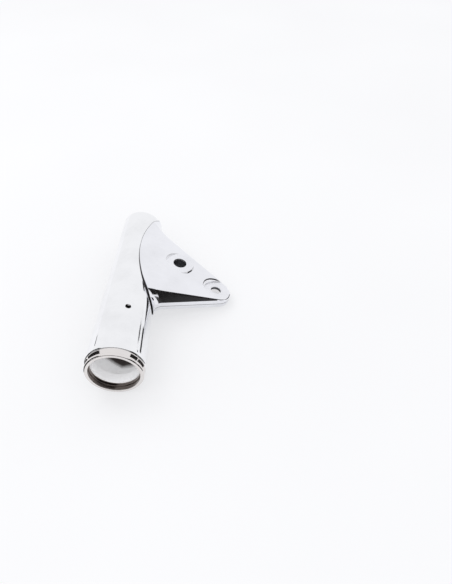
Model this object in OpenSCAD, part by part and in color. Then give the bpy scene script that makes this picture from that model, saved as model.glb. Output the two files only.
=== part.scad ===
// Headlight mounting bracket, left hand: a tapered fork sleeve with a hollow
// pressed ear. The sleeve lies along Y, its lower mouth at y = 0, and the whole
// piece is turned about Y so that the sleeve and the ear tip lie on one floor.

/* [Fork sleeve] */
// outside diameter of the sleeve at its lower end
sleeve_low_d = 51.5; // [46:0.5:58]
// outside diameter of the sleeve at its upper end
sleeve_top_d = 39; // [36:0.5:44]
// length over all, from the lower mouth to the upper end
sleeve_len = 200; // [185:1:220]
// wall thickness of the sleeve
sleeve_wall = 1.5; // [1.2:0.1:2]
// diameter of the locating hole in the sleeve
pin_hole_d = 5.2; // [4:0.1:7]
// distance of the locating hole from the lower mouth
pin_hole_y = 56; // [40:1:70]
// turn of the locating hole from the outer side towards the ear, degrees
pin_hole_turn = 3.5; // [0:0.5:8]

/* [Lower ring] */
// length of the ring that stands out of the sleeve
ring_len = 7.6; // [6:0.2:10]
// outside diameter of the front band of the ring
ring_band_d = 49.6; // [45:0.2:50]
// diameter of the mouth of the ring
ring_mouth_d = 43; // [40:0.2:44]
// diameter of the through hole of the ring
ring_bore_d = 38.6; // [36:0.2:40]
// depth of the stepped seat in the mouth
ring_seat_depth = 6.8; // [5:0.2:8]
// how far the ring reaches up into the sleeve
ring_spigot = 8; // [5:0.5:12]

/* [Ear] */
// sheet thickness of the two ear pressings
ear_sheet = 1; // [0.8:0.1:1.5]
// fall of the outer face of the ear, degrees
ear_fall = 11.2; // [9:0.2:13]
// reach of the headlight hole from the sleeve axis
lamp_hole_x = 82.2; // [76:0.5:90]
// height of the headlight hole above the lower mouth
lamp_hole_y = 115.8; // [108:0.5:124]
// diameter of the headlight hole
lamp_hole_d = 10.2; // [8.2:0.1:11]
// reach of the indicator hole from the sleeve axis
blinker_hole_x = 43; // [40:0.5:46]
// height of the indicator hole above the lower mouth
blinker_hole_y = 135; // [130:0.5:140]
// diameter of the indicator hole
blinker_hole_d = 13; // [10:0.1:14]
// radius of the rounded tip of the ear
tip_r = 13.3; // [12:0.1:15]
// slope of the lower edge of the ear, degrees
low_edge_slope = 16.6; // [12:0.2:20]
// slope of the upper edge of the ear, degrees
top_edge_slope = 38; // [34:0.5:42]
// lean of the lower side wall of the outer pressing, degrees
ear_draft = 26; // [18:1:30]
// lean of the upper side wall of the outer pressing, degrees
top_draft = 14; // [8:1:18]
// rounding from the outer face into the side walls
face_round = 8; // [5:0.5:9]
// level of the line where the side wall starts to lean
lean_level = 6; // [4.4:0.1:6.5]
// level of the joint between the two pressings
joint_level = 1; // [0:0.1:2]
// level of the flat inner side of the ear, below the sleeve axis plane
inner_level = 3.5; // [2.5:0.1:5]
// flare where the lower edge of the ear runs into the sleeve
low_flare = 10; // [6:0.5:12]
// flare where the upper edge of the ear runs into the sleeve
top_flare = 35; // [28:1:38]
// radius of the flat seat around the indicator hole
blinker_pad_r = 13.6; // [11.5:0.1:14]
// radius of the flat seat around the headlight hole
lamp_pad_r = 12.8; // [11:0.1:13]
// wall thickness of the two spacer bushes
bush_wall = 2; // [1.6:0.1:2.5]

/* [Hidden] */
chrome = [0.86, 0.87, 0.89];
steel = [0.62, 0.63, 0.65];
eps = 0.01;
gap = 0.05;
// taper of the sleeve and its outside radius at a height
taper = (sleeve_low_d - sleeve_top_d) / 2 / (sleeve_len - ring_len);
function sleeve_r(y) = sleeve_low_d / 2 - taper * (y - ring_len);
beta = atan(taper);
// centre of the tip rounding, a little off the headlight hole
tip_x = lamp_hole_x + 1.4;
tip_y = lamp_hole_y - 1.8;
// height at which the lower and the upper edge line cross the axis plane
low_y0 = tip_y - tip_r / cos(low_edge_slope) - tip_x * tan(low_edge_slope);
top_y0 = tip_y + tip_r / cos(top_edge_slope) + tip_x * tan(top_edge_slope);
// level of the outer face at a place of the ear
function face_n(x, y) = (sleeve_r(y) + ear_sheet) / cos(ear_fall) - x * tan(ear_fall);
tip_round = 1.5;
lamp_pad_n = face_n(tip_x + tip_r - tip_round, tip_y);
blinker_pad_n = face_n(blinker_hole_x, blinker_hole_y);
// small steps that keep faces from lying on each other, and where the hollow starts
touch = 0.04;
over = 0.14;
hollow_x = 9;
tip_top = lamp_pad_n - joint_level + 2;
// the arc along which the outer pressing ends on the sleeve
seam_r = 118;
seam_x = seam_r + 1.6;
seam_y = 142;
// flare centres beside the sleeve
low_fl_r = sleeve_r(low_y0) + ear_sheet + low_flare;
low_fl_y = low_y0 + low_fl_r * tan(low_edge_slope) - low_flare / cos(low_edge_slope);
top_fl_r = sleeve_r(top_y0) + ear_sheet + top_flare;
top_fl_y = top_y0 - top_fl_r * tan(top_edge_slope) + top_flare / cos(top_edge_slope);
// turn about the sleeve axis that lays the ear tip level with the sleeve
tip_reach = sqrt(pow(tip_x + tip_r, 2) + pow(inner_level, 2));
rest_turn = asin(sleeve_low_d / 2 / tip_reach) - atan(inner_level / (tip_x + tip_r));
big = 400;

// from the frame of the ear (x reach, y up the sleeve, z outwards) to the part frame
module lay() rotate([0, rest_turn, 0]) children();
// a turned body about the sleeve axis, drawn as radius and height
module turned() rotate([-90, 0, 0]) rotate_extrude($fn = 120) children();

// solid inside the outer surface of the sleeve, grown by g
module sleeve_solid(g = 0) turned()
    polygon([[0, -1], [sleeve_r(-1) + g, -1], [sleeve_r(sleeve_len + 1) + g, sleeve_len + 1],
             [0, sleeve_len + 1]]);

module sleeve() color(chrome) lay() difference() {
    turned() polygon([
        [sleeve_r(ring_len) - sleeve_wall, ring_len], [sleeve_r(ring_len) - 0.9, ring_len],
        [sleeve_r(ring_len) - 0.35, ring_len + 0.25], [sleeve_r(ring_len) - 0.05, ring_len + 0.9],
        [sleeve_r(ring_len + 1.4), ring_len + 1.4],
        [sleeve_top_d / 2 + taper * 0.4, sleeve_len - 0.4], [sleeve_top_d / 2 - 0.4, sleeve_len],
        [sleeve_top_d / 2 - sleeve_wall + 0.2, sleeve_len],
        [sleeve_top_d / 2 - sleeve_wall, sleeve_len - 0.2]]);
    rotate([0, pin_hole_turn, 0]) translate([0, pin_hole_y, 5]) cylinder(d = pin_hole_d, h = 40, $fn = 48);
}

// wall of the ring at its mouth, and its broken edges and groove, which keep to that wall
ring_wall = (ring_band_d - ring_mouth_d) / 2;
ring_edge = ring_wall * 8 / 33;
ring_lip = ring_wall * 5 / 33;

// stepped ring: rounded band, groove and bead outside, seat in two steps inside
module ring() color(chrome) lay() turned() polygon([
    [ring_mouth_d / 2 + ring_lip, 0], [ring_band_d / 2 - ring_edge, 0], [ring_band_d / 2 - ring_edge * 0.3125, 0.25],
    [ring_band_d / 2, 0.8], [ring_band_d / 2, 3.5], [ring_band_d / 2 - ring_lip, 3.9],
    [ring_band_d / 2 - ring_lip, 4.4], [ring_band_d / 2 + 0.1, 4.8], [ring_band_d / 2 + 0.35, 5.3],
    [ring_band_d / 2 + 0.35, ring_len - 0.8], [ring_band_d / 2 + 0.1, ring_len - 0.35],
    [ring_band_d / 2 - 0.3, ring_len], [sleeve_r(ring_len) - sleeve_wall - gap, ring_len],
    [sleeve_r(ring_len + ring_spigot) - sleeve_wall - gap, ring_len + ring_spigot],
    [ring_bore_d / 2, ring_len + ring_spigot], [ring_bore_d / 2, ring_seat_depth + 0.3],
    [ring_bore_d / 2 + 0.3, ring_seat_depth], [ring_mouth_d / 2 - 0.8, ring_seat_depth],
    [ring_mouth_d / 2 - 0.8, ring_seat_depth * 0.55 + 0.3], [ring_mouth_d / 2, ring_seat_depth * 0.55],
    [ring_mouth_d / 2, 0.5]]);

// outline of the ear seen from its outer side, drawn in by g
module ear_plan(g = 0) {
    r = tip_r - g;
    translate([tip_x, tip_y]) circle(r = r, $fn = 96);
    polygon([
        [0, tip_y - r / cos(low_edge_slope) - tip_x * tan(low_edge_slope)],
        [tip_x + r * sin(low_edge_slope), tip_y - r * cos(low_edge_slope)],
        [tip_x + r * sin(top_edge_slope), tip_y + r * cos(top_edge_slope)],
        [0, tip_y + r / cos(top_edge_slope) + tip_x * tan(top_edge_slope)]]);
}

// centre of a ball of radius r lying under the outer face above the sleeve, face lowered by g
function ball(y, r, g) = [
    (sleeve_r(y) + ear_sheet - g - r) * sin(ear_fall), y - (r + g) * sin(beta),
    (sleeve_r(y) + ear_sheet - g - r) * cos(ear_fall)];
// heights of the two balls so that the leaning side walls just touch them
function low_ball_y(r) = low_y0 + (face_n(0, low_y0) - face_round - lean_level) * tan(ear_draft)
    / cos(low_edge_slope) + face_round / cos(ear_draft) / cos(low_edge_slope);
function top_ball_y(r) = top_y0 - (face_n(0, top_y0) - face_round - lean_level) * tan(top_draft)
    / cos(top_edge_slope) - face_round / cos(top_draft) / cos(top_edge_slope);

// the ear above the joint level: leaning walls, rounded edges, face falling to the tip
module ear_top(g = 0) hull() {
    translate(ball(low_ball_y(0), face_round - g, g)) sphere(r = face_round - g, $fn = 24);
    translate(ball(top_ball_y(0), face_round - g, g)) sphere(r = face_round - g, $fn = 24);
    translate([0, low_y0 + g / cos(low_edge_slope), joint_level - 2]) cube([eps, eps, lean_level - joint_level + 2]);
    translate([0, top_y0 - g / cos(top_edge_slope), joint_level - 2]) cube([eps, eps, lean_level - joint_level + 2]);
    translate([tip_x, tip_y, joint_level - 2]) rotate_extrude($fn = 64) polygon(concat(
        [[0, 0], [tip_r - g, 0]],
        [for (a = [0:15:90]) [tip_r - tip_round + (tip_round - g) * cos(a),
            tip_top - tip_round + (tip_round - g) * sin(a)]],
        [[0, tip_top - g]]));
}

// half space behind a plane through the flare's two ends that leans with the side wall
module behind_low(g) translate([low_fl_r - low_flare, low_fl_y, lean_level])
    rotate([0, 0, (90 + low_edge_slope) / 2]) rotate([-ear_draft, 0, 0])
    translate([-big / 2, g, -big / 2]) cube([big, big, big]);
module behind_top(g) translate([top_fl_r - top_flare, top_fl_y, lean_level])
    rotate([0, 0, -(90 + top_edge_slope) / 2]) rotate([top_draft, 0, 0])
    translate([-big / 2, -big - g, -big / 2]) cube([big, big, big]);
// half space that carries the rounding of the edge of the face across the flare
module bevel_low(g) translate(ball(low_ball_y(0), face_round, 0)) rotate([0, ear_fall, 0])
    rotate([0, 0, low_edge_slope]) rotate([-50, 0, 0])
    translate([-big / 2, g - face_round, -big / 2]) cube([big, big, big]);
module bevel_top(g) translate(ball(top_ball_y(0), face_round, 0)) rotate([0, ear_fall, 0])
    rotate([0, 0, -top_edge_slope]) rotate([50, 0, 0])
    translate([-big / 2, face_round - g - big, -big / 2]) cube([big, big, big]);

// flares that carry the two edges of the ear into the sleeve, drawn in by g
module flares(g = 0) {
    intersection() {
        turned() difference() {
            translate([10, low_fl_y - eps])
                square([low_fl_r - low_flare * sin(low_edge_slope) - 10, low_flare + 3]);
            translate([low_fl_r, low_fl_y]) circle(r = low_flare + g, $fn = 96);
        }
        behind_low(g);
        bevel_low(g);
    }
    intersection() {
        turned() difference() {
            translate([10, top_fl_y - top_flare * cos(top_edge_slope) - 6])
                square([top_fl_r - top_flare * sin(top_edge_slope) - 10,
                        top_flare * cos(top_edge_slope) + 6]);
            translate([top_fl_r, top_fl_y]) circle(r = top_flare + g, $fn = 144);
        }
        behind_top(g);
        bevel_top(g);
    }
}

// everything just below the outer face lowered by g, and on the ear side of its line of touch
module under_face(g = 0) rotate([0, ear_fall, 0])
    translate([0, 0, sleeve_r(0) + ear_sheet - over - g]) rotate([-beta, 0, 0])
    translate([0, -20, -big]) cube([big, big, big]);

// the ear with its flares, drawn in by g all round
module ear_body(g = 0) {
    ear_top(g);
    intersection() {
        flares(g);
        under_face(g);
    }
}

// a round seat: cone that opens by 35 degrees, starting at radius r on level z
module seat_cone(x, y, z, r, h) translate([x, y, z]) cylinder(r1 = r, r2 = r + h * tan(35), h = h, $fn = 96);
module seat_post(x, y, z, r, h) translate([x, y, z - h]) cylinder(r1 = r + h * tan(35), r2 = r, h = h, $fn = 96);

// hollow of the outer pressing, following the two seats at one sheet thickness,
// with the edge of the sheet turned down on to the sleeve along the seam
module outer_hollow() intersection() {
    difference() {
        union() {
            ear_body(ear_sheet);
            seat_post(blinker_hole_x, blinker_hole_y, blinker_pad_n - ear_sheet + over,
                      blinker_pad_r - ear_sheet * 0.6 - over * tan(35), 4);
        }
        seat_cone(blinker_hole_x, blinker_hole_y, blinker_pad_n - ear_sheet, blinker_pad_r + ear_sheet * 0.5, 20);
        seat_cone(lamp_hole_x, lamp_hole_y, lamp_pad_n - ear_sheet, lamp_pad_r + ear_sheet * 0.5, 20);
    }
    translate([seam_x, seam_y, -20]) cylinder(r = seam_r - ear_sheet, h = 80, $fn = 240);
    translate([hollow_x, 0, -20]) cube([160, sleeve_len, 80]);
}

module ear_outer() color(chrome) lay() difference() {
    intersection() {
        union() {
            ear_body(0);
            sleeve_solid(ear_sheet);
            seat_post(blinker_hole_x, blinker_hole_y, blinker_pad_n + over,
                      blinker_pad_r - over * tan(35), 5);
        }
        translate([seam_x, seam_y, 0]) cylinder(r = seam_r, h = 80, $fn = 240);
        translate([0, 0, joint_level]) cube([160, sleeve_len - 0.5, 60]);
    }
    sleeve_solid(0);
    outer_hollow();
    seat_cone(blinker_hole_x, blinker_hole_y, blinker_pad_n, blinker_pad_r + touch, 20);
    seat_cone(lamp_hole_x, lamp_hole_y, lamp_pad_n, lamp_pad_r, 20);
    translate([blinker_hole_x, blinker_hole_y, -20]) cylinder(d = blinker_hole_d, h = 60, $fn = 64);
    translate([lamp_hole_x, lamp_hole_y, -20]) cylinder(d = lamp_hole_d, h = 60, $fn = 64);
}

// tray outline with its flares, drawn in by g, from level z0 up to the joint
module tray(g = 0, z0 = 0) intersection() {
    union() {
        translate([0, 0, z0]) linear_extrude(joint_level - z0 + (g > 0 ? 1 : 0)) ear_plan(g);
        flares(g);
    }
    translate([0, 0, z0]) cube([160, sleeve_len, joint_level - z0 + (g > 0 ? 1 : 0)]);
}

module ear_inner() color(chrome) lay() difference() {
    tray(0, -inner_level);
    tray(ear_sheet, -inner_level + ear_sheet);
    sleeve_solid(0);
    translate([blinker_hole_x, blinker_hole_y, -20]) cylinder(d = blinker_hole_d, h = 60, $fn = 64);
    translate([lamp_hole_x, lamp_hole_y, -20]) cylinder(d = lamp_hole_d, h = 60, $fn = 64);
}

// spacer bush standing on the inner pressing under a seat at level top
module bush(x, y, d, top) translate([x, y, ear_sheet - inner_level]) difference() {
    cylinder(d = d + 2 * bush_wall, h = top - ear_sheet * 2 + inner_level, $fn = 64);
    translate([0, 0, -1]) cylinder(d = d, h = 60, $fn = 64);
}
module blinker_bush() color(steel) lay() bush(blinker_hole_x, blinker_hole_y, blinker_hole_d, blinker_pad_n);
module lamp_bush() color(steel) lay() bush(lamp_hole_x, lamp_hole_y, lamp_hole_d, lamp_pad_n);

sleeve();
ring();
ear_outer();
ear_inner();
blinker_bush();
lamp_bush();
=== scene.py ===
# %% [markdown]
# # A chrome headlight bracket
# The bracket is a tapered tube that slips over a motorcycle's fork leg, with a hollow
# pressed ear for the headlight bolt and a lamp stem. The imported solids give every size
# and place, and this lesson builds the polished pieces around them.

# %% Load the frame
import math
import bpy
from mathutils import Matrix, Vector


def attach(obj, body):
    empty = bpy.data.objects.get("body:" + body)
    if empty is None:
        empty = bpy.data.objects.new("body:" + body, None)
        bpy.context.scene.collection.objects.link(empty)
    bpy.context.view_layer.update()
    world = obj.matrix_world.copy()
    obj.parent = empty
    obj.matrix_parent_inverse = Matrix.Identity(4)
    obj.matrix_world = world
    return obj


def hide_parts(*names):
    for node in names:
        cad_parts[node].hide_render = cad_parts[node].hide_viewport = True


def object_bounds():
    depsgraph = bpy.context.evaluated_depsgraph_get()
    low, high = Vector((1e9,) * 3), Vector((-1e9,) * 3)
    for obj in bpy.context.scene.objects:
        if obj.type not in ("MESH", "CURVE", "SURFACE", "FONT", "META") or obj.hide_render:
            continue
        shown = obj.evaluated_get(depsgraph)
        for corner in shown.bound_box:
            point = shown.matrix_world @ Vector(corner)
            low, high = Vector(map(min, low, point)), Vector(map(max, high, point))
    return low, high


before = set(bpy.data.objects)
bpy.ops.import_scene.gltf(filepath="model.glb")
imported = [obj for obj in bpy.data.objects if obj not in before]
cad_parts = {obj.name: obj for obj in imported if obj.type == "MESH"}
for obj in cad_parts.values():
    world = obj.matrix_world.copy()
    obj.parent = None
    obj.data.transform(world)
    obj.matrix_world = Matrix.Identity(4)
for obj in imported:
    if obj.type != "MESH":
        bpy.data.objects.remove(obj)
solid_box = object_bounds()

print("solids:", sorted(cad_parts), "box:", solid_box)

# %% [markdown]
# ## Main sizes
# These are the sizes of the solids, in millimetres. The bracket lies on its sleeve and on
# the tip of its ear. How far the tip reaches out, and how deep its floor lies, tell by
# what angle the ear is turned about the sleeve.

# %% Main sizes
MM = 0.001
low_r, top_r, length, wall, ring_len = 25.75, 19.5, 200.0, 1.5, 7.6
taper = (low_r - top_r) / (length - ring_len)
joint, sheet, inner_level = 1.0, 1.0, 3.5
seam_x, seam_y, seam_r = 119.6, 142.0, 118.0
lamp_x, lamp_y, blinker_x, blinker_y = 82.2, 115.8, 43.0, 135.0
tip_x, tip_y, tip_r = lamp_x + 1.4, lamp_y - 1.8, 13.3
tip_reach = tip_x + tip_r
rest_turn = math.asin(low_r / math.hypot(tip_reach, inner_level)) - math.atan2(inner_level, tip_reach)
print("the ear is turned by", round(math.degrees(rest_turn), 3), "degrees")

# %% [markdown]
# ## The camera
# The picture was taken from above the lower end of the tube. The place, the direction
# and the focal length are typed in, as read from the perspective of the round mouth and
# the tube's two edges. A camera looks along its own -Z, so its axes fill a matrix.

# %% Camera
bpy.ops.object.camera_add()
camera = bpy.context.active_object
camera.data.sensor_width = 36
camera.data.lens = 33.29
camera.data.clip_start = 0.01
eye = Vector((0.0941106, -0.2711329, 0.3563105))
ahead = Vector((-0.00553355, 0.71978128, -0.69417886)).normalized()
picture_up = Vector((-0.00553942, 0.69415677, 0.71980254))
across = ahead.cross(picture_up).normalized()
upward = across.cross(ahead)
camera.matrix_world = Matrix.Translation(eye) @ Matrix((across, upward, -ahead)).transposed().to_4x4()
bpy.context.scene.camera = camera
print("camera looks along", tuple(round(v, 3) for v in ahead))

# %% [markdown]
# ## Table, light and surroundings
# Chrome has hardly any colour of its own, it shows the room. The bracket lies on a pale
# table under a white tent. A sun-like lamp would burn hard spots, so the world itself
# gives soft light and one large area lamp from the upper left adds a faint shadow. The
# lamp hides from mirror rays, because a real tent shows no lamp either.

# %% Table and lamps
floor_z, table_gap = solid_box[0][2], 0.0002
bpy.ops.mesh.primitive_plane_add(size=8, location=(0, 0, floor_z - table_gap))
table = bpy.context.active_object
table.name = "table"

bpy.ops.object.light_add(type="AREA", location=(-0.55, 0.45, 0.9))
tent_lamp = bpy.context.active_object
tent_lamp.data.shape = "DISK"
tent_lamp.data.size = 0.7
tent_lamp.data.energy = 1.6
tent_lamp.visible_glossy = False
lamp_way = Vector((0.04, 0.1, 0)) - tent_lamp.location
tent_lamp.rotation_euler = lamp_way.to_track_quat("-Z", "Y").to_euler()

scene = bpy.context.scene
scene.view_settings.view_transform = "Standard"
scene.world = scene.world or bpy.data.worlds.new("tent")
scene.world.use_nodes = True
tent = scene.world.node_tree.nodes["Background"]
tent.inputs["Color"].default_value = (0.95, 0.952, 0.965, 1)
tent.inputs["Strength"].default_value = 1.0
print("table at", round(floor_z, 4))

# %% [markdown]
# ## Shader maths in plain Python
# A material is a tree of nodes. In the shader editor one would drop a Math node for every
# sum. Here one small class wraps an output socket, so that sums and products are written
# as Python expressions, which are easier to read and to change.

# %% Signals
def feed(tree, socket, value):
    """Links a signal to a socket, or writes a constant into it."""
    if isinstance(value, Signal):
        tree.links.new(value.socket, socket)
    else:
        socket.default_value = value


class Signal:
    """An output socket on which Python's operators add Math nodes."""

    def __init__(self, tree, socket):
        self.tree, self.socket = tree, socket

    def maths(self, operation, first, second):
        node = self.tree.nodes.new("ShaderNodeMath")
        node.operation = operation
        feed(self.tree, node.inputs[0], first)
        feed(self.tree, node.inputs[1], second)
        return Signal(self.tree, node.outputs[0])

    def __add__(self, other): return self.maths("ADD", self, other)
    def __radd__(self, other): return self.maths("ADD", other, self)
    def __sub__(self, other): return self.maths("SUBTRACT", self, other)
    def __rsub__(self, other): return self.maths("SUBTRACT", other, self)
    def __mul__(self, other): return self.maths("MULTIPLY", self, other)
    def __rmul__(self, other): return self.maths("MULTIPLY", other, self)
    def __pow__(self, power): return self.maths("POWER", self, power)
    def most(self, other): return self.maths("MAXIMUM", self, other)
    def least(self, other): return self.maths("MINIMUM", self, other)
    def below(self, limit): return self.maths("LESS_THAN", self, limit)


print("signals ready")

# %% [markdown]
# ## One class for every finish
# Each finish starts as a new material with its Principled shader. A single method adds any
# other node: its settings first, such as a ramp's stops, and then the values or links of
# its sockets. Colours are mixed by a Mix node, because a Math node would turn them grey.

# %% Finishes
class Finish:
    """A new material with one Principled shader and a method that adds nodes."""

    def __init__(self, name, **values):
        self.material = bpy.data.materials.new(name)
        self.material.use_nodes = True
        self.tree = self.material.node_tree
        self.shader = self.tree.nodes["Principled BSDF"]
        self.set(self.shader, values)
        self.place = self.add("TexCoord", output="Object")

    def set(self, node, values):
        """Feeds sockets by name, in which an underscore stands for a space."""
        for name, value in values.items():
            feed(self.tree, node.inputs[name.replace("_", " ")], value)

    def add(self, kind, settings=None, output=0, **values):
        """Adds a node, sets its settings first and then its sockets."""
        node = self.tree.nodes.new("ShaderNode" + kind)
        for name, value in (settings or {}).items():
            if name == "stops":
                ramp = node.color_ramp.elements
                while len(ramp) < len(value):
                    ramp.new(0.5)
                for element, (spot, colour) in zip(ramp, value):
                    element.position, element.color = spot, colour
            else:
                setattr(node, name, value)
        self.set(node, values)
        return Signal(self.tree, node.outputs[output])

    def blend(self, share, first, second):
        """Mixes two colours, each a signal or four numbers."""
        mixed = self.add("Mix", {"data_type": "RGBA"}, output=2)
        sockets = mixed.socket.node.inputs
        for socket, value in zip((sockets[0], sockets[6], sockets[7]), (share, first, second)):
            feed(self.tree, socket, value)
        return mixed


print("finishes ready")

# %% [markdown]
# ## The seam as a drawn line
# Along the seam of the ear the plate stays dull and dark. The seam is an arc about a far
# point, so the distance from this point draws it, and a second line marks the joint of
# the two pressings. An image could hold such lines, but then it would need a UV map. The
# ear is turned about the sleeve, so a Mapping node undoes that turn first.

# %% Seam line
def ear_place(finish):
    """The place in the frame of the unturned ear, as x, y and z signals in millimetres."""
    unturned = finish.add("Mapping", Vector=finish.place, Rotation=(0, -rest_turn, 0))
    return [finish.add("SeparateXYZ", output=k, Vector=unturned) * (1 / MM) for k in range(3)]


def seam_line(finish):
    """Share of the dark line, only where the skin lies close to the sleeve."""
    x, y, z = ear_place(finish)
    reach = ((x - seam_x) * (x - seam_x) + (y - seam_y) * (y - seam_y)) ** 0.5
    line = finish.add("MapRange", Value=reach, From_Min=seam_r - 0.4, From_Max=seam_r - 0.2)
    flare = finish.add("MapRange", Value=y, From_Min=150.0, From_Max=length, To_Max=3.0)
    proud = (x * x + z * z) ** 0.5 + y * taper - (low_r + taper * ring_len) - flare
    line = line * finish.add("MapRange", Value=proud, From_Min=1.3, From_Max=1.0)
    return line.most(finish.add("MapRange", Value=z, From_Min=joint + 0.6, From_Max=joint + 0.3))


print("seam arc of", seam_r, "mm about", (seam_x, seam_y))

# %% [markdown]
# ## Chrome plate
# Real chrome is a mirror with faults: the polishing belt leaves the sheet slightly wavy,
# cloth leaves hair-fine scratches, and fingers leave dull patches. The waves and
# scratches are bump, and the patches only change the roughness.

# %% Chrome
def chrome(name, tint, along, wave=0.00002, dull=0.0, line=None):
    """Mirror metal; along stretches the fine scratches in x, y and z."""
    finish = Finish(name, Metallic=1.0)
    haze = finish.add("TexNoise", Vector=finish.place, Scale=38.0, Detail=5.0, Roughness=0.6)
    patches = finish.add("ValToRGB", {"stops": [(0.42, (0, 0, 0, 1)), (0.72, (1, 1, 1, 1))]}, Fac=haze)
    lines = finish.add("Mapping", Vector=finish.place, Scale=along)
    scratch = finish.add("TexNoise", Vector=lines, Scale=900.0, Detail=3.0, Roughness=0.7)
    roughness = 0.045 + dull + patches * 0.035 + scratch * 0.03
    colour = finish.blend(patches, (*tint, 1), (*(0.93 * v for v in tint), 1))
    if line:
        share = line(finish)
        colour = finish.blend(share, colour, (0.05, 0.045, 0.045, 1))
        roughness = roughness + share * 0.3
    swell = finish.add("TexNoise", Vector=finish.place, Scale=55.0, Detail=1.0, Roughness=0.4)
    waves = finish.add("Bump", Strength=1.0, Distance=wave, Height=swell)
    fine = finish.add("Bump", Strength=0.12, Distance=0.00001, Height=scratch, Normal=waves)
    finish.set(finish.shader, {"Base_Color": colour, "Roughness": roughness, "Normal": fine})
    return finish.material


tube_chrome = chrome("tube_chrome", (0.915, 0.92, 0.935), (1, 0.06, 1))
ring_chrome = chrome("ring_chrome", (0.80, 0.77, 0.755), (1, 0.3, 1), wave=0.00001)
ear_chrome = chrome("ear_chrome", (0.88, 0.885, 0.92), (0.15, 1, 1), wave=0.000035, line=seam_line)
tray_chrome = chrome("tray_chrome", (0.84, 0.85, 0.88), (0.2, 1, 1))
seat_face = chrome("seat_face", (0.88, 0.885, 0.92), (0.15, 1, 1), wave=0.00001, dull=0.22)
seat_nickel = chrome("seat_nickel", (0.2, 0.172, 0.158), (1, 0.1, 1), wave=0.00003)
print("chrome materials ready")

# %% [markdown]
# ## Table paper
# The table is matt paper with a very faint mottle. To the camera and to mirrors it glows
# a little, which keeps the shadows soft. More light would do that too, but it would also
# bleach the bracket.

# %% Paper
paper = Finish("table_paper", Roughness=0.9, Specular_IOR_Level=0.0, Emission_Strength=1.0)
mottle = paper.add("TexNoise", Vector=paper.place, Scale=3.0, Detail=2.0)
greys = [(0.2, (0.38, 0.38, 0.385, 1)), (0.8, (0.41, 0.41, 0.415, 1))]
shade = paper.add("ValToRGB", {"stops": greys}, Fac=mottle)
seen = paper.add("LightPath", output="Is Camera Ray").most(paper.add("LightPath", output="Is Glossy Ray"))
paper_glow = paper.blend(seen, (0, 0, 0, 1), (0.56, 0.562, 0.57, 1))
paper.set(paper.shader, {"Base_Color": shade, "Emission_Color": paper_glow})
table.data.materials.append(paper.material)
print("paper ready")

# %% [markdown]
# ## Plate inside the sleeve, with painted light and shade
# Inside the sleeve the plate is pale and milky near the mouth, and it glows faintly: painted
# light for the light that the tent sends into the mouth. Deeper in it turns dark brown, which
# is painted shade for the dark inside of the tube. The edge of this painted shade runs aslant,
# so that from the front it shows as a dark wedge.

# %% Bore plate
# painted light: the pale wall glows by emission, though no lamp is inside the tube
bore_painted_light = Finish("bore_painted_light", Roughness=0.5, Emission_Strength=0.3)
bloom = bore_painted_light.add("TexNoise", Vector=bore_painted_light.place, Scale=70.0, Detail=4.0, Roughness=0.6)
milk = [(0.3, (0.84, 0.84, 0.85, 1)), (0.7, (0.93, 0.93, 0.94, 1))]
pale = bore_painted_light.add("ValToRGB", {"stops": milk}, Fac=bloom)
right = bore_painted_light.add("SeparateXYZ", output="X", Vector=bore_painted_light.place)
depth = bore_painted_light.add("SeparateXYZ", output="Y", Vector=bore_painted_light.place)
aslant = depth + bloom * 0.006 + right.least(0.0) * 0.5
# painted shade: dark brown deep in the tube, its edge aslant so that it shows as a dark wedge
deep_painted_shade = bore_painted_light.add("MapRange", Value=aslant, From_Min=0.0265, From_Max=0.031)
bore_painted_light.set(bore_painted_light.shader, {
    "Base_Color": bore_painted_light.blend(deep_painted_shade, pale, (0.10, 0.085, 0.08, 1)),
    "Emission_Color": bore_painted_light.blend(deep_painted_shade, pale, (0, 0, 0, 1)),
    "Normal": bore_painted_light.add("Bump", Strength=0.2, Distance=0.00004, Height=bloom)})
print("bore plate ready")

# %% [markdown]
# ## Dark cards
# Without something dark to reflect, chrome looks like white paint, so a photographer sets
# up black cards out of the picture. Here a card is a plane that only mirror rays see. It
# gives the metal its dark lines and takes no light away.

# %% Card helpers
black = Finish("card_black", Roughness=1.0, Base_Color=(0.012, 0.011, 0.011, 1))
upright = math.pi / 2


def mirror_only(name, place, turn, width, height):
    """A black plane that only mirror rays can see."""
    bpy.ops.mesh.primitive_plane_add(size=1, location=place, rotation=turn)
    card = bpy.context.active_object
    card.name = name
    card.scale = (width, height, 1)
    card.data.materials.append(black.material)
    card.visible_camera = card.visible_diffuse = card.visible_shadow = False
    card.visible_transmission = card.visible_volume_scatter = False


def standing(name, azimuth, distance, width, height, lift=0.0):
    """An upright card, square to the bracket, on the table or lifted off it."""
    way = math.radians(azimuth)
    place = (distance * math.cos(way), distance * math.sin(way), floor_z + lift + height / 2)
    mirror_only(name, place, (upright, 0, way + math.pi / 2), width, height)


print("card helpers ready")

# %% [markdown]
# ## Where the cards stand
# A wide card stands behind the camera and a mat lies on the table before the ear, whose
# flank mirrors both. The cards and mats left and right draw the dark edges of the tube and
# the ring, the narrow cards draw lines on the tube, and a small one darkens the ear's tip.

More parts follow.
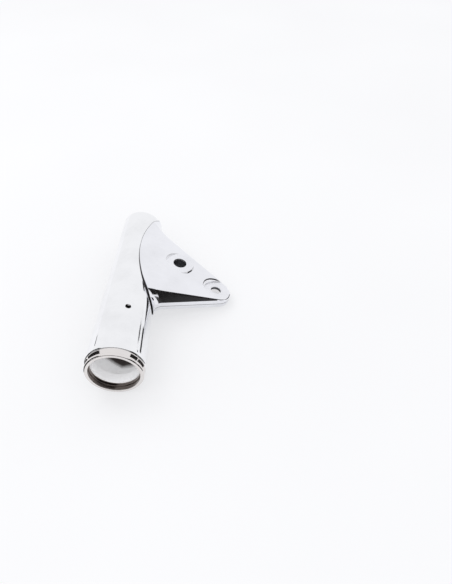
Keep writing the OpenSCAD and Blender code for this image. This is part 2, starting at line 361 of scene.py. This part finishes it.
# %% Cards
mat_z = floor_z + 0.0005
mirror_only("front_card", (0.1, -0.62, floor_z + 0.2), (upright, 0, 0), 1.5, 0.4)
mirror_only("front_mat", (0.45, -0.35, mat_z), (0, 0, 0), 0.8, 0.54)
mirror_only("left_mat", (-0.7, -0.035, mat_z), (0, 0, 0), 1.0, 0.31)
mirror_only("left_mat_near", (-0.125, -0.06, mat_z), (0, 0, 0), 0.15, 0.18)
mirror_only("right_mat_near", (0.48, -0.03, mat_z), (0, 0, 0), 0.84, 0.1)
mirror_only("tip_card", (0.118, 0.117, floor_z + 0.009), (upright, 0, math.radians(110)), 0.034, 0.017)
standing("left_card", 190, 1.2, 1.5, 1.0)
standing("right_card", -20, 1.2, 1.2, 0.69, 0.06)
standing("line_left", 138.5, 1.6, 0.05, 0.07)
standing("line_right_high", 44.3, 1.6, 0.06, 0.12)
standing("line_right_low", 39.3, 1.6, 0.09, 0.09)
print("cards ready")

# %% [markdown]
# ## Drawing a section
# Turned pieces come from half a section. By hand one would place a vertex, extrude it from
# corner to corner and spin the outline. The corners are given with a radius each, and a
# helper replaces each corner by a short arc.

# %% Rounded corners
def rounded(corners, steps=5):
    """Corners (x, y, radius) become points, each corner an arc of the given steps."""
    points = []
    for i, (x, y, radius) in enumerate(corners):
        here = Vector((x, y))
        back = (Vector(corners[i - 1][:2]) - here).normalized()
        onward = (Vector(corners[(i + 1) % len(corners)][:2]) - here).normalized()
        if radius == 0:
            points.append(here)
            continue
        half = back.angle(onward) / 2
        centre = here + (back + onward).normalized() * radius / math.sin(half)
        start = here + back * radius / math.tan(half) - centre
        sweep = start.angle_signed(here + onward * radius / math.tan(half) - centre)
        for k in range(steps + 1):
            turn = -sweep * k / steps
            points.append(centre + Vector((start.x * math.cos(turn) - start.y * math.sin(turn),
                                           start.x * math.sin(turn) + start.y * math.cos(turn))))
    return points


print("corner helper ready")

# %% [markdown]
# ## Spinning a section
# A primitive plane is merged to a single vertex, which is moved to the first corner. Each
# extrude adds one stretch of the outline, and the spin operator turns it into a solid.

# %% Spin helpers
def start_point(name, x, y):
    """A new piece that is a single vertex: a plane merged to its centre."""
    bpy.ops.object.select_all(action="DESELECT")
    bpy.ops.mesh.primitive_plane_add(size=0.01)
    piece = bpy.context.active_object
    piece.name = piece.data.name = name
    bpy.ops.object.mode_set(mode="EDIT")
    bpy.ops.mesh.merge(type="CENTER")
    bpy.ops.transform.translate(value=(x * MM, y * MM, 0))
    return piece


def turned(name, section, steps=192, closed=True):
    """Spins a section (radius, height) about the Y axis; a solid bar starts and ends on it."""
    piece = start_point(name, *section[0])
    for here, there in zip(section, section[1:] + (section[:1] if closed else [])):
        step = ((there[0] - here[0]) * MM, (there[1] - here[1]) * MM, 0)
        bpy.ops.mesh.extrude_region_move(TRANSFORM_OT_translate={"value": step})
    bpy.ops.mesh.select_all(action="SELECT")
    bpy.ops.mesh.remove_doubles(threshold=1e-6)
    bpy.ops.mesh.spin(steps=steps, angle=2 * math.pi, center=(0, 0, 0), axis=(0, 1, 0))
    bpy.ops.mesh.select_all(action="SELECT")
    bpy.ops.mesh.remove_doubles(threshold=1e-6)
    bpy.ops.mesh.normals_make_consistent(inside=False)
    bpy.ops.object.mode_set(mode="OBJECT")
    return piece


print("spin helpers ready")

# %% [markdown]
# ## The sleeve
# The sleeve is a rolled tube that tapers by 12.5 mm over its length. Both ends are broken
# edges, and the section has a ring of vertices every few millimetres so that later cuts
# stay local and the mirror finish stays smooth.

# %% Sleeve
def sleeve_r(y):
    """Outer radius of the sleeve at a height along it."""
    return low_r - taper * (y - ring_len)


def between(first, last, count):
    """Evenly spaced numbers between two numbers, without these two."""
    return [first + (last - first) * k / count for k in range(1, count)]


rings_from, rings_to, outer_rings, inner_rings = ring_len + 1.5, length - 1, 48, 24
outer = [(sleeve_r(y), y) for y in between(rings_from, rings_to, outer_rings)]
inner = [(sleeve_r(y) - wall, y) for y in reversed(between(rings_from, rings_to, inner_rings))]
low_edge = rounded([(low_r - wall, ring_len, 0), (low_r, ring_len, 1.0), (top_r, length, 0)])[:-1]
top_edge = rounded([(low_r, ring_len, 0), (top_r, length, 0.35), (top_r - wall, length, 0.2),
                    (low_r - wall, ring_len, 0)])[1:-1]
sleeve = turned("sleeve_tube", [tuple(p) for p in low_edge] + outer + [tuple(p) for p in top_edge] + inner)
print("sleeve:", len(sleeve.data.polygons), "faces")

# %% [markdown]
# ## The ring
# The lower ring is turned from bar. Outside it has a plain band, a groove and a sloped
# bead that gathers the dark reflections left and right. Inside, two steps hold the rubber
# seat of the fork yoke. Every edge is slightly round, because sharp edges never catch the
# light.

# %% Ring
band_r, groove_r, bead_r, spigot, play = 24.8, 23.7, 25.3, 8.0, 0.05
mouth_r, step_r, bore_r, step_depth, bore_depth = 21.5, 20.7, 19.3, 3.74, 6.8
ring_corners = [
    (mouth_r, 0, 0.5), (band_r, 0, 1.2), (band_r, 2.9, 0.5), (groove_r, 3.2, 0.3),
    (groove_r, 3.6, 0.8), (bead_r, 6.6, 1.4), (bead_r - 0.45, ring_len, 0),
    (low_r - wall - play, ring_len, 0),
    (sleeve_r(ring_len + spigot) - wall - play, ring_len + spigot, 0.2), (bore_r, ring_len + spigot, 0.3),
    (bore_r, bore_depth, 0.3), (step_r, bore_depth, 0.12), (step_r, step_depth, 0.3),
    (mouth_r, step_depth, 0.12)]
ring = turned("ring_turned", [tuple(p) for p in rounded(ring_corners, steps=8)])
print("ring:", len(ring.data.polygons), "faces")

# %% [markdown]
# ## Cutting with tools
# Holes and seats are cut with the Boolean modifier. A cutter is a cylinder, cone or block
# that is deleted afterwards. A mesh boolean leaves the mirror finish alone where the
# surface has small faces, which is why the sleeve has so many rings.

# %% Boolean helpers
def cylinder(name, x, y, low, high, r_low, r_high=None, sides=96):
    """A cylinder or cone along Z between two levels, in millimetres."""
    bpy.ops.object.select_all(action="DESELECT")
    bpy.ops.mesh.primitive_cone_add(
        vertices=sides, radius1=r_low * MM, radius2=(r_low if r_high is None else r_high) * MM,
        depth=(high - low) * MM, location=(x * MM, y * MM, (low + high) / 2 * MM))
    tool = bpy.context.active_object
    tool.name = name
    bpy.ops.object.transform_apply(location=True, rotation=True, scale=True)
    return tool


def cut(piece, tool, operation="DIFFERENCE"):
    """Applies a Boolean modifier and throws the tool away."""
    bpy.ops.object.select_all(action="DESELECT")
    bpy.context.view_layer.objects.active = piece
    piece.select_set(True)
    step = piece.modifiers.new("cut", "BOOLEAN")
    step.operation, step.object, step.solver = operation, tool, "EXACT"
    bpy.ops.object.modifier_apply(modifier=step.name)
    bpy.data.objects.remove(tool)


def turn_about_sleeve(piece, angle):
    """Turns a piece about the Y axis and puts the turn into its mesh."""
    bpy.ops.object.select_all(action="DESELECT")
    bpy.context.view_layer.objects.active = piece
    piece.select_set(True)
    piece.rotation_euler = (0, angle, 0)
    bpy.ops.object.transform_apply(location=True, rotation=True, scale=True)


print("boolean helpers ready")

# %% [markdown]
# ## The locating hole
# A small hole through the front wall of the sleeve takes the pin that stops it turning.
# The drill starts straight above the tube and is turned a little about it.

# %% Locating hole
pin_y, pin_r, pin_turn, pin_low, pin_high = 56.0, 2.6, math.radians(3.5), 12, 40
drill = cylinder("pin_drill", 0, pin_y, pin_low, pin_high, pin_r, sides=48)
turn_about_sleeve(drill, pin_turn)
cut(sleeve, drill)
print("sleeve with its hole:", len(sleeve.data.polygons), "faces")

# %% [markdown]
# ## The outline of the ear
# Seen from above the ear is a triangle with a round tip. Its lower side rises gently, its
# upper side is steep, and both run into the sleeve in a flare. Higher up the walls lean
# inwards, so the outline is asked for at a height, and its flares follow the round
# sleeve at that height.

# %% Ear sizes
fall, low_lean, top_lean = math.radians(11.2), math.tan(math.radians(26)), math.tan(math.radians(14))
low_slope, top_slope = math.tan(math.radians(16.6)), math.tan(math.radians(38))
low_y0 = tip_y - tip_r * math.hypot(1, low_slope) - tip_x * low_slope
top_y0 = tip_y + tip_r * math.hypot(1, top_slope) + tip_x * top_slope
low_flare_r, top_flare_r, low_flare_y, top_flare_y = 10, 35, 80, 184
lean_from, back_x, sunk, arc_steps = 6.0, 4.4, 0.03, 24
low_run, top_run, tip_lean, least_reach = 9, 18, 0.3, 5.6


def face_height(x, y):
    """Height of the falling outer face, a plane that touches the sheet on the sleeve."""
    return (sleeve_r(y) + sheet - x * math.sin(fall)) / math.cos(fall)


lamp_seat = face_height(tip_reach - 1.5, tip_y)
blinker_seat = face_height(blinker_x, blinker_y)
print("seats at", round(lamp_seat, 2), "and", round(blinker_seat, 2), "mm")

# %% [markdown]
# ## Points of the outline
# Two straight sides are laid through the height that is asked for, and their corners are
# rounded: the flares at the sleeve and the tip. The sides get points between the arcs, so
# that every height has the same number of points and columns can run from one to the next.

# %% Ear outline
def beside(y, height):
    """How far out the skin on the sleeve lies, at a height above the sleeve's axis."""
    reach = sleeve_r(y) + sheet
    return math.sqrt(max(reach * reach - height * height, least_reach ** 2)) - sunk


def ear_outline(height, inset=0.0):
    """The outline at a height: lower flare, side, tip, side, upper flare and hidden back."""
    lean = max(0.0, height - lean_from)
    low_shift = (lean * low_lean + inset) * math.hypot(1, low_slope)
    top_shift = (lean * top_lean + inset) * math.hypot(1, top_slope)

    def low_line(x): return low_y0 + low_shift + x * low_slope
    def top_line(x): return top_y0 - top_shift - x * top_slope
    def side(first, last): return [first.lerp(last, k / arc_steps) for k in range(1, arc_steps)]

    low_x, top_x = beside(low_flare_y, height), beside(top_flare_y, height)
    low_end, top_end = low_line(low_x) - low_run, top_line(top_x) + top_run
    meet = (top_y0 - top_shift - low_y0 - low_shift) / (low_slope + top_slope)
    corners = [(beside(low_end, height), low_end, 0), (low_x, low_line(low_x), low_flare_r + inset),
               (meet, low_line(meet), tip_r - inset - lean * tip_lean),
               (top_x, top_line(top_x), top_flare_r + inset),
               (beside(top_end, height), top_end, 0), (back_x, top_end, 0), (back_x, low_end, 0)]
    points = rounded(corners, steps=arc_steps)
    low_flare, tip, top_flare = (points[1 + k * (arc_steps + 1):][:arc_steps + 1] for k in range(3))
    return (points[:1] + low_flare + side(low_flare[-1], tip[0]) + tip + side(tip[-1], top_flare[0])
            + top_flare + points[-3:])


outline_size = len(ear_outline(joint))
print("outline points:", outline_size)

# %% [markdown]
# ## The outer pressing
# A press makes this shell from sheet: steep sides, a wide rounding and a flat face that
# falls to the tip. A bevel cannot change its radius and follow the flares at once, so each
# point of the outline gets its own column: up the wall, round an arc and on to the face.
# The columns are joined to one smooth skin, like a loft.

# %% Rounding of a column
wide_round, tip_round, least_round, narrow_from, flare_points = 8.0, 1.5, 0.25, 22, 22
last_flare = outline_size - 4
highest, halvings = 30.0, 34


def corner_height(index):
    """Height at which a point of the leaning wall meets the falling face, by halving."""
    low, high = joint, highest
    for _ in range(halvings):
        middle = (low + high) / 2
        spot = ear_outline(middle)[index]
        low, high = (middle, high) if face_height(spot.x, spot.y) > middle else (low, middle)
    return low


def round_radius(index, x):
    """Radius between wall and face: wide at the sleeve, tight at the tip, none at the flares."""
    share = min(1.0, max(0.0, (x - narrow_from) / (tip_x - narrow_from)))
    fade = min(1.0, index / flare_points, max(0, last_flare - index) / flare_points)
    return max((wide_round + (tip_round - wide_round) * share) * fade, least_round)


print("corner at the tip is", round(corner_height(outline_size // 2), 2), "mm high")

# %% Column by column
probe, least_crease = 1.0, 0.3


def column(index, rows=14, arc=10):
    """Points of one column of the ear, from the joint up to the edge of the flat face."""
    def at(height):
        spot = ear_outline(height)[index]
        return Vector((spot.x, spot.y, height))

    low = corner_height(index)
    corner = at(low)
    wall_up = (corner - at(low - probe)).normalized()
    outline = ear_outline(low)
    before, after = outline[index - 1], outline[(index + 1) % outline_size]
    inwards = Vector((before.y - after.y, after.x - before.x, 0)).normalized()
    slope = face_height(inwards.x, inwards.y) - face_height(0, 0)
    face_in = Vector((inwards.x, inwards.y, slope)).normalized()
    bend, radius = wall_up.angle(face_in), round_radius(index, corner.x)
    reach = radius * math.tan(bend / 2)
    centre = corner + (face_in - wall_up).normalized() * radius / math.cos(bend / 2)
    start = corner - wall_up * reach
    crease = min(lean_from, start.z - least_crease)
    points = [at(joint), at(crease)]
    points += [at(crease + (start.z - crease) * k / rows) for k in range(1, rows)]
    first, last = start - centre, corner + face_in * reach - centre
    for k in range(arc + 1):
        turn = bend * k / arc
        points.append(centre + (first * math.sin(bend - turn) + last * math.sin(turn)) / math.sin(bend))
    return points


print("a column has", len(column(0)), "points")

# %% [markdown]
# ## From columns to a skin
# Neighbouring columns are joined by a strip of four-sided faces, and one large face each
# closes the top and the bottom. Bridge edge loops would do the same for rings of vertices,
# but it may pair them with a twist, and here each column knows its neighbour.

# %% Loft
def loft(name, columns):
    """Joins columns of equal length to a closed solid with a flat lid and floor."""
    rows, count = len(columns[0]), len(columns)
    points = [tuple(p * MM) for line in columns for p in line]
    faces = []
    for i in range(count):
        here, there = i * rows, (i + 1) % count * rows
        for k in range(rows - 1):
            faces.append((here + k, there + k, there + k + 1, here + k + 1))
    faces.append([i * rows for i in range(count)])
    faces.append([i * rows + rows - 1 for i in reversed(range(count))])
    mesh = bpy.data.meshes.new(name)
    mesh.from_pydata(points, [], faces)
    piece = bpy.data.objects.new(name, mesh)
    scene.collection.objects.link(piece)
    bpy.ops.object.select_all(action="DESELECT")
    bpy.context.view_layer.objects.active = piece
    piece.select_set(True)
    bpy.ops.object.mode_set(mode="EDIT")
    bpy.ops.mesh.select_all(action="SELECT")
    bpy.ops.mesh.remove_doubles(threshold=1e-7)
    bpy.ops.mesh.normals_make_consistent(inside=False)
    bpy.ops.object.mode_set(mode="OBJECT")
    return piece


ear = loft("ear_shell", [column(i) for i in range(outline_size)])
print("ear loft:", len(ear.data.polygons), "faces")

# %% [markdown]
# ## Wrapping the sheet on to the sleeve
# The pressing does not stop at the corner: it lies on the tube as a one millimetre skin
# and ends along a curved seam, just short of the rim. The skin is a slightly larger tube
# joined to the ear, then one large cylinder trims both to the seam.

# %% Skin and seam
rim_level, skin_from, seam_top, block_r, block_top = length - 0.6, 60, 70, 60, 215


def cone_along_sleeve(name, extra, low, high, rings=32):
    """A solid tapered bar a little larger than the sleeve, with rings along its length."""
    spots = [low + (high - low) * k / rings for k in range(rings + 1)]
    return turned(name, [(0, low)] + [(sleeve_r(y) + extra, y) for y in spots] + [(0, high)], closed=False)


def trim_top(piece):
    """Cuts off what reaches past the rim of the sleeve, with a turned block."""
    section = [(1, rim_level), (block_r, rim_level), (block_r, block_top), (1, block_top)]
    cut(piece, turned("rim_block", section, steps=64))


cut(ear, cone_along_sleeve("skin", sheet, skin_from, rim_level), "UNION")
cut(ear, cylinder("seam", seam_x, seam_y, joint, seam_top, seam_r, sides=384), "INTERSECT")
trim_top(ear)
print("with skin:", len(ear.data.polygons), "faces")

# %% [markdown]
# ## Seats and holes
# Two round seats are struck into the face, so that nuts sit square to the sleeve and not
# on the slope. The larger one stands proud on its low side and sinks in on its high side.
# A cone adds the proud part, and upturned cones cut away what stands above.

# %% Seats
blinker_pad, lamp_pad, blinker_hole, lamp_hole = 13.6, 12.8, 6.5, 5.1
wall_lean, proud_by, foot, above, slack = 0.25, 0.14, 5, 20, 0.04
seats = ((blinker_x, blinker_y, blinker_seat, blinker_pad, blinker_hole),
         (lamp_x, lamp_y, lamp_seat, lamp_pad, lamp_hole))


def seat_cut(piece, x, y, level, radius):
    """Clears a seat with an upturned cone that starts at its level."""
    cut(piece, cylinder("seat", x, y, level, level + above, radius, radius + above * wall_lean))


cut(ear, cylinder("post", blinker_x, blinker_y, blinker_seat - foot, blinker_seat + proud_by,
                  blinker_pad + foot * wall_lean, blinker_pad - proud_by * wall_lean), "UNION")
seat_cut(ear, blinker_x, blinker_y, blinker_seat, blinker_pad + slack)
seat_cut(ear, lamp_x, lamp_y, lamp_seat, lamp_pad)
print("with seats:", len(ear.data.polygons), "faces")

# %% [markdown]
# ## Bore, holes and pockets
# A cone of the sleeve's own size clears the bore, so the skin ends up lying on the sleeve.
# The two holes go right through. Below the sheet each hole widens to a pocket, in which
# its bush stands.

# %% Bore and holes
bush_wall, bore_from, bore_to, drill_from, drill_to = 2.02, 50, 205, -10, 40
cut(ear, cone_along_sleeve("bore", 0.0, bore_from, bore_to))
for x, y, level, _, hole in seats:
    cut(ear, cylinder("hole", x, y, drill_from, drill_to, hole))
    cut(ear, cylinder("pocket", x, y, drill_from, level - sheet, hole + bush_wall))
print("outer pressing:", len(ear.data.polygons), "faces")

# %% [markdown]
# ## The tray
# A second, shallow pressing closes the ear from behind. It has the same outline, one
# millimetre walls and a rounded bottom edge, so its columns are short.

# %% Tray
def tray_column(index, inset, floor_level, radius, steps=6):
    """From the joint down a straight wall, round an arc to the flat floor."""
    top = ear_outline(0, inset)[index]
    spots = [Vector((top.x, top.y, joint + (1 if inset else 0)))]
    for k in range(steps + 1):
        turn = math.pi / 2 * k / steps
        line = ear_outline(0, inset + radius * (1 - math.cos(turn)))[index]
        spots.append(Vector((line.x, line.y, floor_level + radius * (1 - math.sin(turn)))))
    return spots


def tray_solid(name, *sizes):
    """The tray's outline as a solid, with an inset, a floor level and an edge radius."""
    return loft(name, [tray_column(i, *sizes) for i in range(outline_size)])


tray = tray_solid("tray_shell", 0, -inner_level, 1.0)
cut(tray, tray_solid("inside", sheet, sheet - inner_level, 0.5))
cut(tray, cone_along_sleeve("bore", 0.0, bore_from, bore_to))
trim_top(tray)
for x, y, *_, hole in seats:
    cut(tray, cylinder("hole", x, y, drill_from, drill_to, hole))
print("tray:", len(tray.data.polygons), "faces")

# %% [markdown]
# ## Painted light and reflections on the struck seats
# The wall of a struck seat is milky in its corner and glows faintly, painted light, and its lip
# is dark, a painted reflection of dark surroundings. How deep a spot lies under the falling face
# tells how near the lip it is. At the turn signal's seat the lip is faint, and one dark spot,
# also a painted reflection, sits on its low side.

# %% Struck walls
midway = 60.0
# painted light: the milky seat wall glows by emission
struck = Finish("struck_wall_painted_light", Metallic=0.1, Emission_Strength=0.26)
ear_x, ear_y, ear_z = ear_place(struck)
skin_r = low_r + sheet + taper * ring_len - taper * ear_y
under_face = (skin_r - ear_x * math.sin(fall)) * (1 / math.cos(fall)) - ear_z
# painted reflection: dark along the lip of each seat
lip_painted_reflection = struck.add("MapRange", Value=under_face, From_Min=1.7, From_Max=1.4)
lip_painted_reflection = lip_painted_reflection * struck.add("MapRange", Value=ear_x, From_Min=lamp_x + 5.8, From_Max=lamp_x - 0.2)
lip_painted_reflection = lip_painted_reflection * struck.add("MapRange", Value=ear_x, From_Min=midway, From_Max=midway + 4, To_Min=0.35)
# painted reflection: one dark spot on the low side of the turn signal's seat
low_side = struck.add("MapRange", Value=ear_x, From_Min=blinker_x + 8, From_Max=blinker_x + 9)
low_end = struck.add("MapRange", Value=ear_y, From_Min=blinker_y - 5, From_Max=blinker_y - 6.5)
dark = lip_painted_reflection.most(low_side * ear_x.below(midway) * low_end)
cloud = struck.add("TexNoise", Vector=struck.place, Scale=400.0, Detail=3.0)
milky = struck.blend(cloud, (0.82, 0.82, 0.84, 1), (0.92, 0.92, 0.94, 1))
struck.set(struck.shader, {"Base_Color": struck.blend(dark, milky, (0.03, 0.028, 0.03, 1)),
                           "Emission_Color": struck.blend(dark, milky, (0, 0, 0, 1)),
                           "Roughness": 0.4 + cloud * 0.2})
print("struck walls ready")

# %% [markdown]
# ## The two bushes
# The spacer bushes inside the ear are dull steel. The one for the lamp stem has a painted
# highlight along its upper edge, and the short one for the headlight bolt has painted light
# glowing up its bore, in place of the light of the table. Their solids are round and exact, so
# they stay and only get this finish.

# %% Bushes
def bush_finish(node, turning, soft, glow=0.0):
    """Steel with a painted highlight beyond a height, glowing when glow is set: above it if soft is
    positive, else below.
    """
    bush = Finish(node + "_steel", Metallic=0.6, Emission_Strength=glow)
    height = ear_place(bush)[2]
    grain = bush.add("TexNoise", Vector=bush.place, Scale=260.0, Detail=6.0, Roughness=0.65)
    steel_tones = [(0.3, (0.02, 0.021, 0.027, 1)), (0.75, (0.12, 0.12, 0.13, 1))]
    dull = bush.add("ValToRGB", {"stops": steel_tones}, Fac=grain)
    # painted highlight: a bright steel tone beyond a height, also fed to the emission
    painted_bright_steel = bush.blend(grain, (0.66, 0.655, 0.66, 1), (0.78, 0.775, 0.78, 1))
    share = bush.add("MapRange", Value=height, From_Min=turning, From_Max=turning + soft)
    bush.set(bush.shader, {"Base_Color": bush.blend(share, dull, painted_bright_steel),
                           "Roughness": 0.35 + grain * 0.3,
                           "Emission_Color": bush.blend(share, (0, 0, 0, 1), painted_bright_steel),
                           "Normal": bush.add("Bump", Strength=0.4, Distance=0.00008, Height=grain)})
    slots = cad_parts[node].data.materials
    slots.clear()
    slots.append(bush.material)


# painted highlight along the upper edge of the turn signal's bush
bush_finish("blinker_bush", blinker_seat - sheet - 0.5, soft=0.1)
# painted light glowing up the short bore of the lamp bush
bush_finish("lamp_bush", lamp_seat - sheet - 2.5, soft=-0.3, glow=0.4)
print("bushes ready")

# %% [markdown]
# ## Which face gets which finish
# A piece can carry several materials. Each face stores the number of its material slot,
# and these helpers pick it from the face's place and normal.

# %% Material slots
margin, flat, near, highest_wall = 0.1, 0.03, 0.15, 4


def sleeve_slot(spot, normal):
    """0 outside and on the edges, 1 on the inner wall."""
    return int(math.hypot(spot.x, spot.z) < sleeve_r(spot.y) - wall / 2 and abs(normal.y) < 0.5)


def ring_slot(spot, normal):
    """0 outside, 1 in the bore, 2 on the two steps behind the mouth."""
    if math.hypot(spot.x, spot.z) >= mouth_r + margin:
        return 0
    return 2 if spot.y < bore_depth - margin else 1


def ear_slot(spot, normal):
    """0 outside, 1 on the wall of a struck seat, 2 on its face."""
    x = spot.x * math.cos(rest_turn) - spot.z * math.sin(rest_turn)
    z = spot.x * math.sin(rest_turn) + spot.z * math.cos(rest_turn)
    for seat_x, seat_y, level, radius, _ in seats:
        out, rise = math.hypot(x - seat_x, spot.y - seat_y) - radius, abs(z - level)
        if abs(out - rise * wall_lean) < near and flat < rise < highest_wall:
            return 1
        if out < margin and rise < flat:
            return 2
    return 0


def tray_slot(spot, normal):
    """The tray has one finish all over."""
    return 0


print("slot helpers ready")

# %% [markdown]
# ## Finish and place
# Each piece is turned about the sleeve until the tip of the ear touches the table, gets
# smooth shading up to a small angle, its chrome, and takes the place of its plain solid.

# %% Dress the pieces
def dress(piece, node, smooth_angle, slot_of, *materials):
    """Turns a piece to its place, finishes it and puts it in place of its solid."""
    turn_about_sleeve(piece, rest_turn)
    bpy.ops.object.shade_smooth_by_angle(angle=math.radians(smooth_angle))
    piece.data.materials.clear()
    for material in materials:
        piece.data.materials.append(material)
    for face in piece.data.polygons:
        face.material_index = slot_of(face.center / MM, face.normal)
    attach(piece, "root")
    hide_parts(node)
    print(node, "dressed with", len(materials), "finishes,", len(piece.data.polygons), "faces")


dress(sleeve, "sleeve", 20, sleeve_slot, tube_chrome, bore_painted_light.material)
dress(ring, "ring", 20, ring_slot, ring_chrome, bore_painted_light.material, seat_nickel)
dress(ear, "ear_outer", 12, ear_slot, ear_chrome, struck.material, seat_face)
dress(tray, "ear_inner", 12, tray_slot, tray_chrome)
